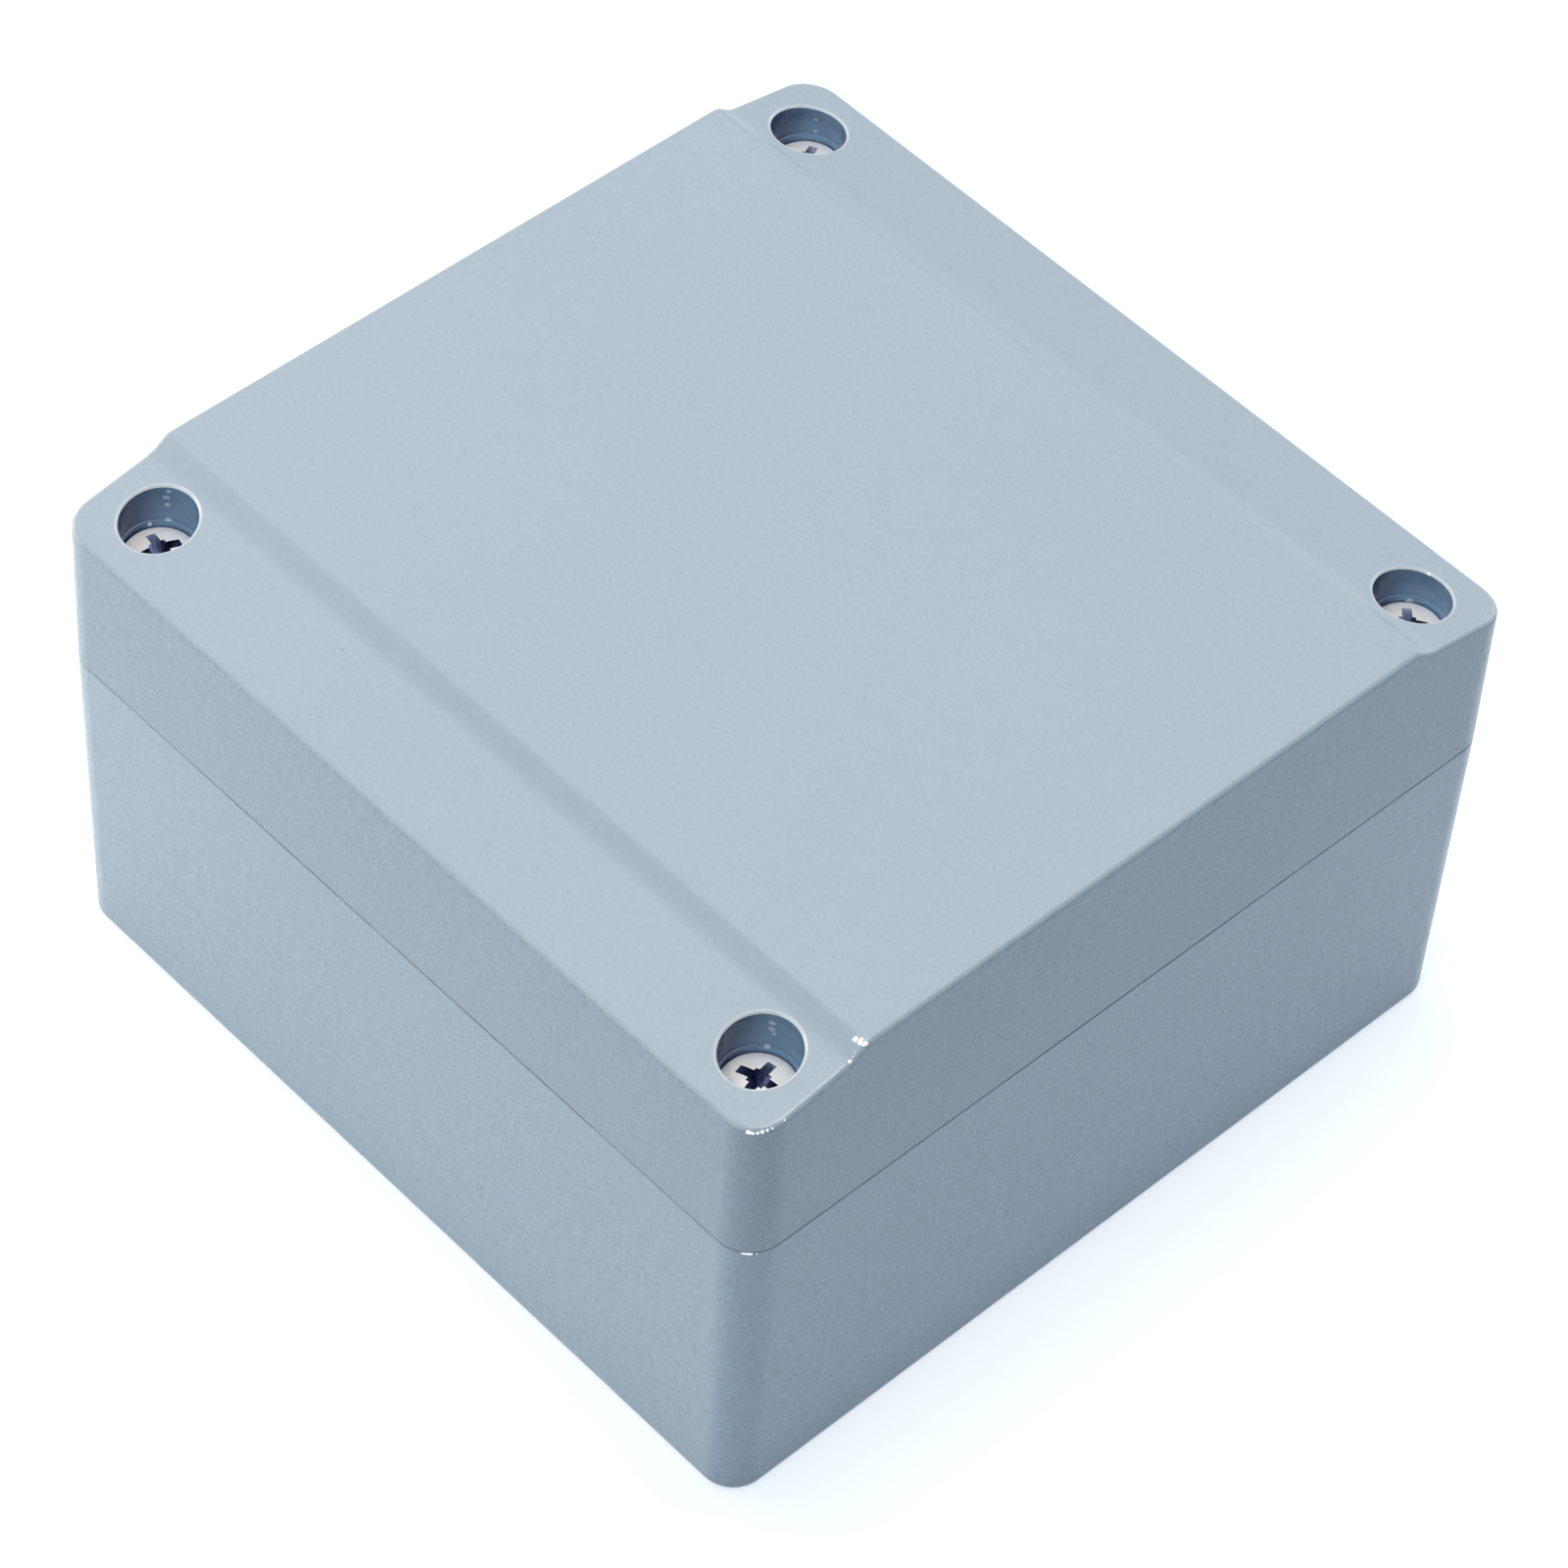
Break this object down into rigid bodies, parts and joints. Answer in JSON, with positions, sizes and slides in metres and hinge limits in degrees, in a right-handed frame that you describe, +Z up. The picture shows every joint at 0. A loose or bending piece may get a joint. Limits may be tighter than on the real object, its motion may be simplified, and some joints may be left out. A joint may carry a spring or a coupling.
{
  "type": "aluminium project box",
  "caption": "Square die-cast aluminium enclosure: raised-panel lid with deep corner screws, cord seal, side wells for wall screws, board pillars and earth terminal inside.",
  "frame": {"origin": "centre of the underside", "axes": "+Z up out of the lid, +X along the sloping strips that carry the lid screws, +Y across them"},
  "size_m": [0.1, 0.1, 0.06],
  "materials": {
    "case_paint": "light blue-grey satin powder coat over die-cast aluminium",
    "seal_rubber": "matt black chloroprene",
    "screw_steel": "bright plated steel",
    "earth_steel": "zinc plated steel"
  },
  "bodies": {
    "base": {"base": "case_paint", "earth_toothed_washer": "earth_steel", "earth_plain_washer": "earth_steel"},
    "lid": {"lid": "case_paint", "gasket": "seal_rubber"},
    "lid_screw_front_left": {"lid_screw_front_left": "screw_steel"},
    "lid_screw_front_right": {"lid_screw_front_right": "screw_steel"},
    "lid_screw_back_left": {"lid_screw_back_left": "screw_steel"},
    "lid_screw_back_right": {"lid_screw_back_right": "screw_steel"},
    "earth_screw": {"earth_screw": "earth_steel"}
  },
  "joints": [
    {"name": "lid_lift", "type": "slide", "parent": "base", "child": "lid", "axis": [0, 0, 1], "range_m": [0, 0.06]},
    {"name": "lid_screw_front_left_out", "type": "slide", "parent": "lid", "child": "lid_screw_front_left", "axis": [0, 0, 1], "range_m": [0, 0.01]},
    {"name": "lid_screw_front_right_out", "type": "slide", "parent": "lid", "child": "lid_screw_front_right", "axis": [0, 0, 1], "range_m": [0, 0.01]},
    {"name": "lid_screw_back_left_out", "type": "slide", "parent": "lid", "child": "lid_screw_back_left", "axis": [0, 0, 1], "range_m": [0, 0.01]},
    {"name": "lid_screw_back_right_out", "type": "slide", "parent": "lid", "child": "lid_screw_back_right", "axis": [0, 0, 1], "range_m": [0, 0.01]},
    {"name": "earth_screw_out", "type": "slide", "parent": "base", "child": "earth_screw", "axis": [0, 0, 1], "range_m": [0, 0.004]}
  ]
}
